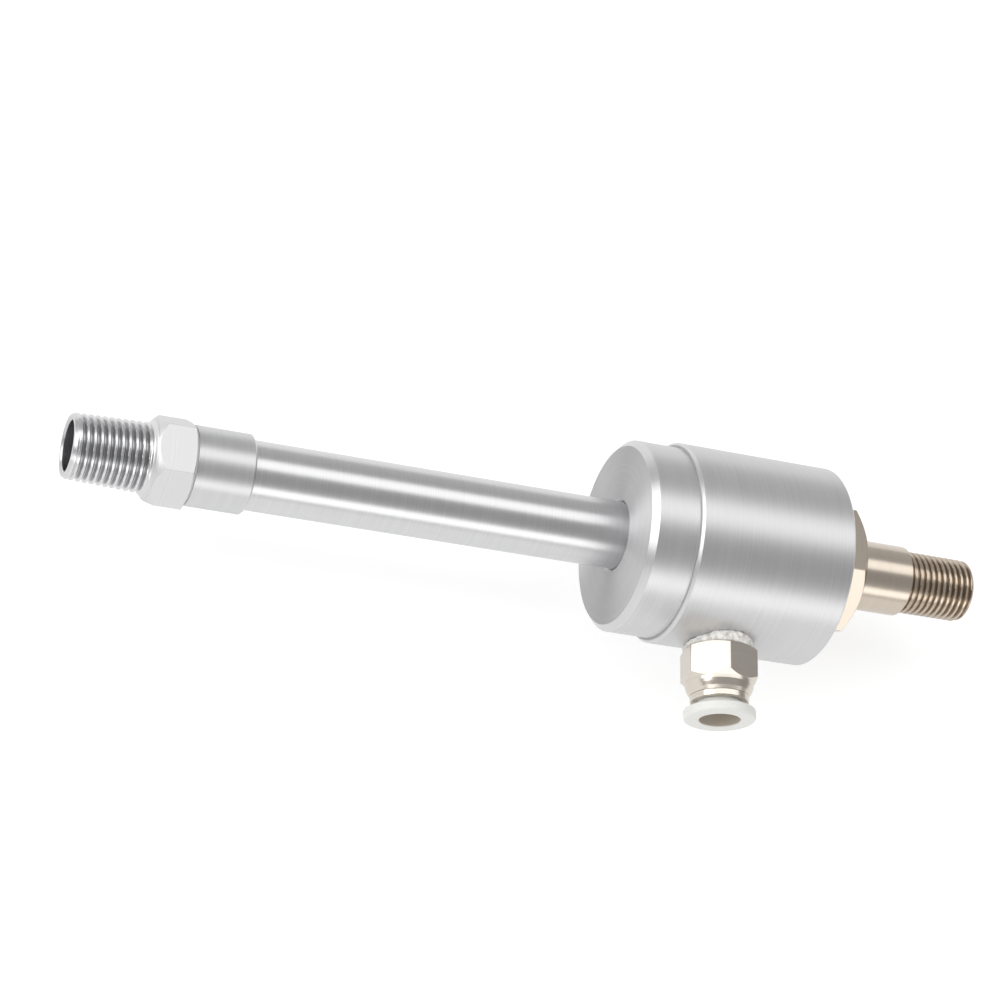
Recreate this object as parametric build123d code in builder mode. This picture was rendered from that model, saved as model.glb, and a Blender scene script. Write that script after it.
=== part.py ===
from build123d import *

import os

# Vortex tube: compressed air enters a push-in fitting, spins in a nozzle ring, and leaves
# as hot air at the far end of the long tube and as cold air through the threaded nipple.
#
# Frame: millimetres. X runs along the tube, +X the way the cold air leaves. The inlet
# points along -Y and +Z is up. The origin is the centre of the cold hexagon's outer face.
# Along the inlet, places are distances from the tube's axis.

# Main body, a turned cylinder
body_diameter = 41.0
hot_edge_chamfer = 0.5
cold_edge_chamfer = 0.4
cold_port_radius = 10.0
cold_port_depth = 9.0
web_thickness = 3.5
web_hole_radius = 5.0
pilot_depth = 1.7
plenum_radius = 12.5
plenum_side_margin = 0.235

# End cap, the smaller turned disc on the hot side
cap_diameter = 39.0
cap_length = 10.1
cap_chamfer = 1.3
cap_thread_radius = 15.0
cap_thread_length = 5.6
cap_thread_runout = 0.3
cap_nose_radius = 10.0
cap_nose_length = 1.3
cap_mouth_chamfer = 0.5

# Hot tube
tube_diameter = 13.7
tube_bore = 10.0
tube_exposed_length = 77.6
tube_flange_thickness = 2.5

# Swirl generator and the cold orifice plate behind it
generator_radius = 9.45
nozzle_count = 6
nozzle_throat_width = 1.4
nozzle_entry_width = 2.8
nozzle_depth = 3.0
orifice_thickness = 3.0
orifice_throat_radius = 2.4
orifice_exit_radius = 4.6

# Hot end: sleeve, gasket, throttle and nipple
sleeve_diameter = 15.7
sleeve_length = 11.5
sleeve_overlap = 6.0
sleeve_chamfer = 0.4
gasket_thickness = 0.4
gasket_recess = 0.25
throttle_rim_thickness = 1.5
throttle_slot_width = 0.8
throttle_nose_length = 8.0
throttle_nose_radius = 1.2
throttle_arm_count = 4
throttle_arm_width = 1.2
hot_hex_across_flats = 16.0
hot_hex_corner_angle = 2.3
hot_hex_length = 7.4
hot_front_chamfer = 1.4
hot_rear_chamfer = 0.45
hot_shoulder_length = 1.2
hot_shoulder_radius = 7.75
hot_thread_length = 14.7
hot_bore_diameter = 9.9
hot_mouth_chamfer = 0.35

# Taper pipe thread of a quarter inch: its crests lie on a cone of 1 in 16
thread_end_radius = 6.39
thread_taper = 1 / 32
thread_lead_length = 0.7
thread_lead_depth = 0.36

# Cold nipple
cold_hex_across_flats = 25.0
cold_hex_corner_angle = 49.0
cold_hex_length = 7.0
cold_hex_chamfer = 1.45
cold_spigot_gap = 0.5
cold_shank_radius = 7.25
cold_shank_length = 13.4
cold_thread_length = 15.3
cold_bore_radius = 4.25
cold_end_round = 1.4

# Push-in fitting, from the body outwards
inlet_thread_setback = 0.2
inlet_seat_gap = 1.0
inlet_hex_across_flats = 14.0
inlet_hex_corner_angle = 40.0
inlet_hex_length = 7.1
inlet_hex_chamfer = 1.05
inlet_seat_chamfer = 0.5
inlet_shoulder_radius = 6.95
inlet_shoulder_length = 2.6
inlet_shoulder_bulge = 0.27
inlet_mouth_wall = 0.35
inlet_lip_radius = 5.95
inlet_lip_thickness = 1.4
inlet_lip_chamfer = 0.15
inlet_bore_radius = 3.2
air_tube_hole_radius = 4.1
tube_stop_depth = 2.9
sealant_radius = 7.1

# Inside the push-in fitting; the lip of the seal and the claws are drawn as they lie
# on a tube that has been pushed in
air_tube_grip_radius = 4.03
seal_thickness = 2.6
seal_groove_width = 0.6
backup_ring_thickness = 1.7
backup_flange_thickness = 0.6
grab_ring_thickness = 0.3
claw_count = 8
claw_gap = 0.55
claw_drop = 0.8
bush_skirt_length = 5.2
bush_recess_length = 2.4
bush_skirt_wall = 0.28
bush_guide_radius = 4.83
release_travel = 0.8
release_end_gap = 0.1
release_nose_dip = 0.4
release_nose_chamfer = 0.5
release_barb_length = 0.5
release_flange_radius = 7.25
release_flange_height = 2.6
release_flare_share = 0.42
release_rim_height = 1.9
release_rim_round = 0.5
release_mouth_round = 0.3
release_slit_count = 4
release_slit_width = 0.8
release_slit_length = 5.0

# Rubber rings: radius of the round section
web_ring_section = 0.6
cap_ring_section = 0.55
tube_ring_section = 0.75
cold_ring_section = 0.55

# Clearances
turning_clearance = 0.05
seal_clearance = 0.02
sliding_clearance = 0.08
stop_clearance = 0.3

# Radii and places along the tube that follow
body_radius = body_diameter / 2
cap_radius = cap_diameter / 2
tube_radius = tube_diameter / 2
tube_bore_radius = tube_bore / 2
tube_hole_radius = tube_radius + turning_clearance
sleeve_radius = sleeve_diameter / 2
hot_bore_radius = hot_bore_diameter / 2
cold_end_x = cold_shank_length + cold_thread_length
cold_face_x = -cold_hex_length
web_cold_x = cold_face_x - cold_port_depth
web_face_x = web_cold_x - web_thickness
pilot_x = web_face_x - pilot_depth
generator_cold_x = web_face_x - orifice_thickness

# Places along the inlet
inlet_thread_end = plenum_radius + inlet_thread_setback
inlet_seat = body_radius + inlet_seat_gap
inlet_hex_end = inlet_seat + inlet_hex_length
inlet_mouth = inlet_hex_end + inlet_shoulder_length
inlet_root_radius = thread_end_radius + (inlet_seat - inlet_thread_end) * thread_taper
chamber_radius = inlet_lip_radius - inlet_mouth_wall
grab_top = inlet_mouth - bush_skirt_length
backup_top = grab_top - grab_ring_thickness
seal_crown = backup_top - backup_ring_thickness
chamber_end = seal_crown - seal_thickness
tube_stop = chamber_end - tube_stop_depth
bush_lip_face = inlet_mouth + inlet_lip_thickness

# The plenum is a little longer than the inlet port is wide, and the rest of the body
# follows from it towards the hot end
plenum_length = 2 * (inlet_root_radius + plenum_side_margin)
plenum_hot_x = pilot_x - plenum_length
inlet_x = (pilot_x + plenum_hot_x) / 2
cap_thread_end_x = plenum_hot_x - cap_thread_runout
hot_face_x = cap_thread_end_x - cap_thread_length
flange_hot_x = cap_thread_end_x + cap_nose_length
flange_cold_x = flange_hot_x + tube_flange_thickness
cap_face_x = hot_face_x - cap_length
sleeve_cold_x = cap_face_x - tube_exposed_length
tube_end_x = sleeve_cold_x - sleeve_overlap
throttle_hot_x = tube_end_x - throttle_rim_thickness
sleeve_hot_x = sleeve_cold_x - sleeve_length
hot_hex_rear_x = sleeve_hot_x - gasket_thickness
hot_hex_front_x = hot_hex_rear_x - hot_hex_length
hot_thread_x = hot_hex_front_x - hot_shoulder_length
hot_end_x = hot_thread_x - hot_thread_length

# The inlet's axis and the plane of its half sections: radius across, distance outwards
inlet_axis = Axis((inlet_x, 0, 0), (0, -1, 0))
inlet_section = Plane(origin=(inlet_x, 0, 0), x_dir=(1, 0, 0), z_dir=(0, 0, -1))


def inlet_plane(distance):
    """A plane square to the inlet's axis at a distance from the tube's axis."""
    return Plane(origin=(inlet_x, -distance, 0), x_dir=(1, 0, 0), z_dir=(0, -1, 0))


def rubber_ring(centre_x, ring_radius, section_radius):
    """A round rubber ring about the tube's axis."""
    with BuildPart() as ring:
        with BuildSketch():
            with Locations((centre_x, ring_radius)):
                Circle(section_radius)
        revolve(axis=Axis.X)
    return ring.part


os.makedirs("parts", exist_ok=True)

# Main body: one turned bore from the hot side, a port from the cold side, and a web
# between them that the nozzle stack is clamped against. A rubber ring lies in the web's
# face and one in the turned-off mouth of each port. The inlet port is tapered.
web_groove_width = 2 * (web_ring_section + seal_clearance)
cap_gland = cap_ring_section / (1 - 0.5**0.5)
cold_gland = cold_ring_section / (1 - 0.5**0.5)
cap_port_radius = cap_thread_radius + turning_clearance
cold_bore_wall = cold_port_radius + turning_clearance
pilot_radius = generator_radius + turning_clearance
web_ring_radius = (web_hole_radius + pilot_radius) / 2
with BuildPart() as main_body:
    with BuildSketch() as body_profile:
        with BuildLine():
            Polyline(
                (hot_face_x, cap_port_radius + cap_gland),
                (hot_face_x, body_radius - hot_edge_chamfer),
                (hot_face_x + hot_edge_chamfer, body_radius),
                (cold_face_x - cold_edge_chamfer, body_radius),
                (cold_face_x, body_radius - cold_edge_chamfer),
                (cold_face_x, cold_bore_wall + cold_gland),
                (cold_face_x - cold_gland, cold_bore_wall),
                (web_cold_x, cold_bore_wall),
                (web_cold_x, web_hole_radius),
                (web_face_x, web_hole_radius),
                (web_face_x, pilot_radius),
                (pilot_x, pilot_radius),
                (pilot_x, plenum_radius),
                (plenum_hot_x, plenum_radius),
                (plenum_hot_x, cap_port_radius),
                (hot_face_x + cap_gland, cap_port_radius),
                close=True,
            )
        make_face()
        with Locations((web_face_x, web_ring_radius)):
            Rectangle(
                web_groove_width,
                web_groove_width,
                align=(Align.MIN, Align.CENTER),
                mode=Mode.SUBTRACT,
            )
    revolve(axis=Axis.X)
    with BuildSketch(inlet_section) as inlet_port:
        with BuildLine():
            Polyline(
                (0, 0),
                (inlet_root_radius + turning_clearance - inlet_seat * thread_taper, 0),
                (inlet_root_radius + turning_clearance, inlet_seat),
                (0, inlet_seat),
                close=True,
            )
        make_face()
    revolve(axis=inlet_axis, mode=Mode.SUBTRACT)
main_body.part.label = "main_body"
export_step(main_body.part, "parts/main_body.step")

# End cap: a turned disc whose threaded spigot closes the body and whose nose clamps the
# flange of the hot tube. The bore carries the tube and has a groove for its rubber ring.
tube_groove_radius = tube_radius + 2 * (tube_ring_section + seal_clearance)
tube_groove_x = (cap_face_x + hot_face_x) / 2
with BuildPart() as end_cap:
    with BuildSketch() as cap_profile:
        with BuildLine():
            Polyline(
                (cap_face_x, tube_hole_radius + cap_mouth_chamfer),
                (cap_face_x, cap_radius - cap_chamfer),
                (cap_face_x + cap_chamfer, cap_radius),
                (hot_face_x, cap_radius),
                (hot_face_x, cap_thread_radius),
                (cap_thread_end_x, cap_thread_radius),
                (cap_thread_end_x, cap_nose_radius),
                (flange_hot_x, cap_nose_radius),
                (flange_hot_x, tube_hole_radius),
                (cap_face_x + cap_mouth_chamfer, tube_hole_radius),
                close=True,
            )
        make_face()
        with Locations((tube_groove_x, 0)):
            Rectangle(
                2 * (tube_ring_section + stop_clearance),
                tube_groove_radius,
                align=(Align.CENTER, Align.MIN),
                mode=Mode.SUBTRACT,
            )
    revolve(axis=Axis.X)
end_cap.part.label = "end_cap"
export_step(end_cap.part, "parts/end_cap.step")

# Hot tube: a long plain tube with a turned flange that the swirl generator bears on
with BuildPart() as hot_tube:
    with BuildSketch() as tube_profile:
        with BuildLine():
            Polyline(
                (tube_end_x, tube_bore_radius),
                (tube_end_x, tube_radius),
                (flange_hot_x, tube_radius),
                (flange_hot_x, generator_radius),
                (flange_cold_x, generator_radius),
                (flange_cold_x, tube_bore_radius),
                close=True,
            )
        make_face()
    revolve(axis=Axis.X)
hot_tube.part.label = "hot_tube"
export_step(hot_tube.part, "parts/hot_tube.step")

# Swirl generator: a ring round the vortex chamber. Its nozzles are slots in the cold
# face that narrow inwards, each with its outer wall tangent to the chamber.
with BuildPart() as swirl_generator:
    with BuildSketch(Plane.YZ.offset(flange_cold_x)) as chamber_ring:
        Circle(generator_radius)
        Circle(tube_bore_radius, mode=Mode.SUBTRACT)
    extrude(amount=generator_cold_x - flange_cold_x)
    with BuildSketch(Plane.YZ.offset(generator_cold_x)) as nozzles:
        with PolarLocations(tube_bore_radius, nozzle_count):
            Polygon(
                (0, -nozzle_throat_width / 2),
                (0, generator_radius),
                (-nozzle_entry_width, generator_radius),
                (-nozzle_throat_width, -nozzle_throat_width / 2),
                align=None,
            )
    extrude(amount=-nozzle_depth, mode=Mode.SUBTRACT)
swirl_generator.part.label = "swirl_generator"
export_step(swirl_generator.part, "parts/swirl_generator.step")

# Cold orifice: the plate that closes the nozzles and lets only the cold core through
with BuildPart() as cold_orifice:
    with BuildSketch() as orifice_profile:
        with BuildLine():
            Polyline(
                (generator_cold_x, orifice_throat_radius),
                (generator_cold_x, generator_radius),
                (web_face_x, generator_radius),
                (web_face_x, orifice_exit_radius),
                close=True,
            )
        make_face()
    revolve(axis=Axis.X)
cold_orifice.part.label = "cold_orifice"
export_step(cold_orifice.part, "parts/cold_orifice.step")

# Hot end sleeve: the collar over the end of the hot tube. It also takes the throttle's
# rim and the nipple's spigot.
with BuildPart() as hot_end_sleeve:
    with BuildSketch() as sleeve_profile:
        with BuildLine():
            Polyline(
                (sleeve_hot_x, tube_hole_radius),
                (sleeve_hot_x, sleeve_radius),
                (sleeve_cold_x - sleeve_chamfer, sleeve_radius),
                (sleeve_cold_x, sleeve_radius - sleeve_chamfer),
                (sleeve_cold_x, tube_hole_radius),
                close=True,
            )
        make_face()
    revolve(axis=Axis.X)
hot_end_sleeve.part.label = "hot_end_sleeve"
export_step(hot_end_sleeve.part, "parts/hot_end_sleeve.step")

# Hot end gasket: the thin ring in the joint between the sleeve and the hexagon
with BuildPart() as hot_end_gasket:
    with BuildSketch(Plane.YZ.offset(hot_hex_rear_x)) as gasket_ring:
        Circle(sleeve_radius - gasket_recess)
        Circle(tube_hole_radius, mode=Mode.SUBTRACT)
    extrude(amount=gasket_thickness)
hot_end_gasket.part.label = "hot_end_gasket"
export_step(hot_end_gasket.part, "parts/hot_end_gasket.step")

# Throttle: a cone on a spider, clamped between the tube and the nipple. Only the hot
# outer layer of the vortex gets past the narrow slot round the cone.
throttle_cone_radius = tube_bore_radius - throttle_slot_width
with BuildPart() as hot_throttle:
    with BuildSketch(Plane.YZ.offset(throttle_hot_x)) as spider:
        Circle(tube_radius)
        Circle(tube_bore_radius, mode=Mode.SUBTRACT)
        with PolarLocations(0, throttle_arm_count):
            Rectangle(
                tube_bore_radius + throttle_slot_width,
                throttle_arm_width,
                align=(Align.MIN, Align.CENTER),
            )
    extrude(amount=throttle_rim_thickness)
    with BuildSketch() as cone_profile:
        with BuildLine():
            Polyline(
                (throttle_hot_x, 0),
                (throttle_hot_x, throttle_cone_radius),
                (tube_end_x, throttle_cone_radius),
                (tube_end_x + throttle_nose_length, throttle_nose_radius),
                (tube_end_x + throttle_nose_length, 0),
                close=True,
            )
        make_face()
    revolve(axis=Axis.X)
hot_throttle.part.label = "hot_throttle"
export_step(hot_throttle.part, "parts/hot_throttle.step")

# Hot end nipple: hexagon, cone and hollow nose with a taper pipe thread, turned from one
# bar. The hexagon is cut first and its corners are turned off, then the rest is added.
hot_hex_apothem = hot_hex_across_flats / 2
hot_hex_corner = hot_hex_apothem * 2 / 3**0.5
hot_root_radius = thread_end_radius + hot_thread_length * thread_taper
hot_lead_radius = thread_end_radius + thread_lead_length * thread_taper
with BuildPart() as hot_end_nipple:
    with BuildSketch(Plane.YZ.offset(hot_hex_front_x)) as hot_hexagon:
        RegularPolygon(hot_hex_apothem, 6, major_radius=False, rotation=hot_hex_corner_angle)
    extrude(amount=hot_hex_length)
    with BuildSketch() as hot_hex_turning:
        with BuildLine():
            Polyline(
                (hot_hex_front_x, 0),
                (hot_hex_front_x, hot_hex_apothem),
                (hot_hex_front_x + hot_front_chamfer, hot_hex_corner),
                (hot_hex_rear_x - hot_rear_chamfer, hot_hex_corner),
                (hot_hex_rear_x, hot_hex_apothem),
                (hot_hex_rear_x, 0),
                close=True,
            )
        make_face()
    revolve(axis=Axis.X, mode=Mode.INTERSECT)
    with BuildSketch() as hot_turning:
        with BuildLine():
            Polyline(
                (hot_end_x, 0),
                (hot_end_x, thread_end_radius - thread_lead_depth),
                (hot_end_x + thread_lead_length, hot_lead_radius),
                (hot_thread_x, hot_root_radius),
                (hot_hex_front_x, hot_shoulder_radius),
                (hot_hex_front_x, 0),
                close=True,
            )
        make_face()
        with Locations((hot_hex_rear_x, 0)):
            Rectangle(throttle_hot_x - hot_hex_rear_x, tube_radius, align=(Align.MIN, Align.MIN))
    revolve(axis=Axis.X)
    with BuildSketch() as hot_bore:
        with BuildLine():
            Polyline(
                (hot_end_x, 0),
                (hot_end_x, hot_bore_radius + hot_mouth_chamfer),
                (hot_end_x + hot_mouth_chamfer, hot_bore_radius),
                (throttle_hot_x, hot_bore_radius),
                (throttle_hot_x, 0),
                close=True,
            )
        make_face()
    revolve(axis=Axis.X, mode=Mode.SUBTRACT)
hot_end_nipple.part.label = "hot_end_nipple"
export_step(hot_end_nipple.part, "parts/hot_end_nipple.step")

# Cold nipple: spigot, hexagon, plain shank and taper pipe thread with a rounded end,
# drilled right through
cold_hex_apothem = cold_hex_across_flats / 2
cold_hex_corner = cold_hex_apothem * 2 / 3**0.5
cold_spigot_x = web_cold_x + cold_spigot_gap
cold_root_radius = thread_end_radius + cold_thread_length * thread_taper
cold_crest_radius = thread_end_radius + cold_end_round * thread_taper
with BuildPart() as cold_nipple:
    with BuildSketch(Plane.YZ.offset(cold_face_x)) as cold_hexagon:
        RegularPolygon(cold_hex_apothem, 6, major_radius=False, rotation=cold_hex_corner_angle)
    extrude(amount=cold_hex_length)
    with BuildSketch() as cold_hex_turning:
        with BuildLine():
            Polyline(
                (cold_face_x, 0),
                (cold_face_x, cold_hex_corner),
                (-cold_hex_chamfer, cold_hex_corner),
                (0, cold_hex_apothem),
                (0, 0),
                close=True,
            )
        make_face()
    revolve(axis=Axis.X, mode=Mode.INTERSECT)
    with BuildSketch() as cold_turning:
        with BuildLine():
            Polyline(
                (cold_end_x - cold_end_round, cold_crest_radius),
                (cold_shank_length, cold_root_radius),
                (cold_shank_length, cold_shank_radius),
                (cold_face_x, cold_shank_radius),
                (cold_face_x, cold_port_radius),
                (cold_spigot_x, cold_port_radius),
                (cold_spigot_x, 0),
                (cold_end_x, 0),
                (cold_end_x, cold_crest_radius - cold_end_round),
            )
            CenterArc(
                (cold_end_x - cold_end_round, cold_crest_radius - cold_end_round),
                cold_end_round,
                start_angle=0,
                arc_size=90,
            )
        make_face()
    revolve(axis=Axis.X)
    with BuildSketch() as cold_bore:
        with BuildLine():
            Polyline(
                (cold_spigot_x, 0),
                (cold_spigot_x, web_hole_radius),
                (cold_face_x, cold_bore_radius),
                (cold_end_x, cold_bore_radius),
                (cold_end_x, 0),
                close=True,
            )
        make_face()
    revolve(axis=Axis.X, mode=Mode.SUBTRACT)
cold_nipple.part.label = "cold_nipple"
export_step(cold_nipple.part, "parts/cold_nipple.step")

# Rubber rings: one in each joint that holds pressure
orifice_o_ring = rubber_ring(
    web_face_x + web_groove_width / 2,
    web_ring_radius,
    web_ring_section,
)
orifice_o_ring.label = "orifice_o_ring"
export_step(orifice_o_ring, "parts/orifice_o_ring.step")

cap_o_ring = rubber_ring(
    hot_face_x + cap_ring_section,
    cap_port_radius + cap_ring_section - turning_clearance / 2,
    cap_ring_section - seal_clearance,
)
cap_o_ring.label = "cap_o_ring"
export_step(cap_o_ring, "parts/cap_o_ring.step")

cold_nipple_o_ring = rubber_ring(
    cold_face_x - cold_ring_section,
    cold_bore_wall + cold_ring_section - turning_clearance / 2,
    cold_ring_section - seal_clearance,
)
cold_nipple_o_ring.label = "cold_nipple_o_ring"
export_step(cold_nipple_o_ring, "parts/cold_nipple_o_ring.step")

tube_o_ring = rubber_ring(
    tube_groove_x,
    (tube_radius + tube_groove_radius) / 2,
    tube_ring_section,
)
tube_o_ring.label = "tube_o_ring"
export_step(tube_o_ring, "parts/tube_o_ring.step")

# Body of the push-in fitting: taper thread, hexagon and a rounded shoulder that ends in
# a thin mouth, with a stepped bore for the seal and the claws
inlet_hex_apothem = inlet_hex_across_flats / 2
inlet_hex_corner = inlet_hex_apothem * 2 / 3**0.5
shoulder_step = inlet_shoulder_radius - inlet_lip_radius
with BuildPart() as inlet_fitting_body:
    with BuildSketch(inlet_plane(inlet_seat)) as inlet_hexagon:
        RegularPolygon(inlet_hex_apothem, 6, major_radius=False, rotation=inlet_hex_corner_angle)
    extrude(amount=inlet_hex_length)
    with BuildSketch(inlet_section) as inlet_hex_turning:
        with BuildLine():
            Polyline(
                (0, inlet_seat),
                (inlet_hex_apothem, inlet_seat),
                (inlet_hex_corner, inlet_seat + inlet_seat_chamfer),
                (inlet_hex_corner, inlet_hex_end - inlet_hex_chamfer),
                (inlet_hex_apothem, inlet_hex_end),
                (0, inlet_hex_end),
                close=True,
            )
        make_face()
    revolve(axis=inlet_axis, mode=Mode.INTERSECT)
    with BuildSketch(inlet_section) as inlet_turning:
        with BuildLine():
            Polyline(
                (inlet_lip_radius, inlet_mouth),
                (0, inlet_mouth),
                (0, inlet_thread_end),
                (thread_end_radius, inlet_thread_end),
                (inlet_root_radius, inlet_seat),
                (inlet_shoulder_radius, inlet_seat),
                (inlet_shoulder_radius, inlet_hex_end),
            )
            ThreePointArc(
                (inlet_shoulder_radius, inlet_hex_end),
                (
                    inlet_shoulder_radius - inlet_shoulder_bulge * shoulder_step,
                    inlet_hex_end + inlet_shoulder_length / 2,
                ),
                (inlet_lip_radius, inlet_mouth),
            )
        make_face()
    revolve(axis=inlet_axis)
    with BuildSketch(inlet_section) as inlet_bore:
        with BuildLine():
            Polyline(
                (0, inlet_thread_end),
                (inlet_bore_radius, inlet_thread_end),
                (inlet_bore_radius, tube_stop),
                (air_tube_hole_radius, tube_stop),
                (air_tube_hole_radius, chamber_end),
                (chamber_radius, chamber_end),
                (chamber_radius, inlet_mouth),
                (0, inlet_mouth),
                close=True,
            )
        make_face()
    revolve(axis=inlet_axis, mode=Mode.SUBTRACT)
inlet_fitting_body.part.label = "inlet_fitting_body"
export_step(inlet_fitting_body.part, "parts/inlet_fitting_body.step")

# Thread sealant: white tape squeezed out of the joint, a ring that follows the curve of
# the body on one side and lies flat against the hexagon on the other
sealant_foot = (body_radius**2 - sealant_radius**2) ** 0.5
with BuildPart() as thread_sealant:
    with BuildSketch(inlet_plane(sealant_foot)) as sealant_ring:
        Circle(sealant_radius)
        Circle(inlet_root_radius + seal_clearance, mode=Mode.SUBTRACT)
    extrude(amount=inlet_seat - sealant_foot)
    with BuildSketch(Plane.YZ.offset(hot_face_x)) as body_outline:
        Circle(body_radius + turning_clearance)
    extrude(amount=cold_face_x - hot_face_x, mode=Mode.SUBTRACT)
thread_sealant.part.label = "thread_sealant"
export_step(thread_sealant.part, "parts/thread_sealant.step")

# Tube seal: a rubber ring with a lip that lies on the air tube, and a groove on the
# pressure side that spreads it
seal_outer_radius = chamber_radius - turning_clearance
seal_groove_radius = (air_tube_grip_radius + seal_outer_radius) / 2
seal_relief_radius = air_tube_grip_radius + seal_groove_width / 2
with BuildPart() as tube_seal:
    with BuildSketch(inlet_section) as seal_profile:
        with BuildLine():
            Polyline(
                (seal_outer_radius, chamber_end),
                (seal_outer_radius, seal_crown),
                (seal_relief_radius, seal_crown),
                (air_tube_grip_radius, seal_crown - seal_thickness / 3),
                (air_tube_grip_radius, chamber_end + seal_groove_width),
                (seal_groove_radius - seal_groove_width / 2, chamber_end),
                (seal_groove_radius, chamber_end + seal_thickness / 3),
                (seal_groove_radius + seal_groove_width / 2, chamber_end),
                close=True,
            )
        make_face()
    revolve(axis=inlet_axis)
tube_seal.part.label = "tube_seal"
export_step(tube_seal.part, "parts/tube_seal.step")

# Backup ring: a stepped ring that holds the seal in and leaves room for the claws
bush_outer_radius = chamber_radius - seal_clearance
bush_recess_radius = bush_outer_radius - bush_skirt_wall
claw_root_radius = bush_recess_radius - stop_clearance
with BuildPart() as backup_ring:
    with BuildSketch(inlet_section) as backup_profile:
        with BuildLine():
            Polyline(
                (air_tube_hole_radius, seal_crown),
                (seal_outer_radius, seal_crown),
                (seal_outer_radius, backup_top),
                (claw_root_radius, backup_top),
                (claw_root_radius, seal_crown + backup_flange_thickness),
                (air_tube_hole_radius, seal_crown + backup_flange_thickness),
                close=True,
            )
        make_face()
    revolve(axis=inlet_axis)
backup_ring.part.label = "backup_ring"
export_step(backup_ring.part, "parts/backup_ring.step")

# Grab ring: spring steel, a flat rim with claws that lean inwards and bite on the tube
with BuildPart() as grab_ring:
    with BuildSketch(inlet_section) as grab_profile:
        with BuildLine():
            Polyline(
                (seal_outer_radius, backup_top),
                (seal_outer_radius, grab_top),
                (claw_root_radius, grab_top),
                (air_tube_grip_radius, grab_top - claw_drop),
                (air_tube_grip_radius, backup_top - claw_drop),
                (claw_root_radius, backup_top),
                close=True,
            )
        make_face()
    revolve(axis=inlet_axis)
    with BuildSketch(inlet_plane(backup_top - claw_drop)) as claw_gaps:
        with PolarLocations(0, claw_count):
            Rectangle(claw_root_radius, claw_gap, align=(Align.MIN, Align.CENTER))
    extrude(amount=claw_drop + grab_ring_thickness, mode=Mode.SUBTRACT)
grab_ring.part.label = "grab_ring"
export_step(grab_ring.part, "parts/grab_ring.step")

# Retaining bush: pressed into the mouth. Its skirt clamps the grab ring, and its lip
# guides the release ring and keeps the barb of that ring inside.
bush_recess_top = grab_top + bush_recess_length
with BuildPart() as retaining_bush:
    with BuildSketch(inlet_section) as bush_profile:
        with BuildLine():
            Polyline(
                (bush_recess_radius, grab_top),
                (bush_outer_radius, grab_top),
                (bush_outer_radius, inlet_mouth),
                (inlet_lip_radius - inlet_lip_chamfer, inlet_mouth),
                (inlet_lip_radius, inlet_mouth + inlet_lip_chamfer),
                (inlet_lip_radius, bush_lip_face - inlet_lip_chamfer),
                (inlet_lip_radius - inlet_lip_chamfer, bush_lip_face),
                (bush_guide_radius, bush_lip_face),
                (bush_guide_radius, bush_recess_top),
                (bush_recess_radius, bush_recess_top),
                close=True,
            )
        make_face()
    revolve(axis=inlet_axis)
retaining_bush.part.label = "retaining_bush"
export_step(retaining_bush.part, "parts/retaining_bush.step")

# Release ring: a moulded collet. A finger presses its flange, its slit end slides through
# the bush and spreads the claws, and the barb stops it from coming out.
neck_radius = bush_guide_radius - sliding_clearance
barb_radius = bush_recess_radius - turning_clearance
barb_top = bush_recess_top - release_end_gap
nose_end = grab_top + release_travel - release_nose_dip
flange_underside = bush_lip_face + release_travel + release_end_gap
release_face = flange_underside + release_flange_height
flange_edge = release_face - release_rim_height
flare_middle = inlet_lip_radius + release_flare_share * (release_flange_radius - inlet_lip_radius)
with BuildPart() as release_ring:
    with BuildSketch(inlet_section) as release_profile:
        with BuildLine():
            Polyline(
                (air_tube_hole_radius, release_face - release_mouth_round),
                (air_tube_hole_radius, nose_end),
                (neck_radius, nose_end + release_nose_chamfer),
                (barb_radius, barb_top - release_barb_length),
                (barb_radius, barb_top),
                (neck_radius, barb_top),
                (neck_radius, flange_underside),
                (inlet_lip_radius, flange_underside),
            )
            ThreePointArc(
                (inlet_lip_radius, flange_underside),
                (flare_middle, (flange_underside + flange_edge) / 2),
                (release_flange_radius, flange_edge),
            )
            Line(
                (release_flange_radius, flange_edge),
                (release_flange_radius, release_face - release_rim_round),
            )
            CenterArc(
                (release_flange_radius - release_rim_round, release_face - release_rim_round),
                release_rim_round,
                start_angle=0,
                arc_size=90,
            )
            Line(
                (release_flange_radius - release_rim_round, release_face),
                (air_tube_hole_radius + release_mouth_round, release_face),
            )
            CenterArc(
                (air_tube_hole_radius + release_mouth_round, release_face - release_mouth_round),
                release_mouth_round,
                start_angle=90,
                arc_size=90,
            )
        make_face()
    revolve(axis=inlet_axis)
    with BuildSketch(inlet_plane(nose_end)) as slits:
        with PolarLocations(0, release_slit_count):
            Rectangle(
                barb_radius + turning_clearance,
                release_slit_width,
                align=(Align.MIN, Align.CENTER),
            )
    extrude(amount=release_slit_length, mode=Mode.SUBTRACT)
release_ring.part.label = "release_ring"
export_step(release_ring.part, "parts/release_ring.step")
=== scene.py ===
import math

import bmesh
import bpy
from mathutils import Matrix, Quaternion, Vector, noise


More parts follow.
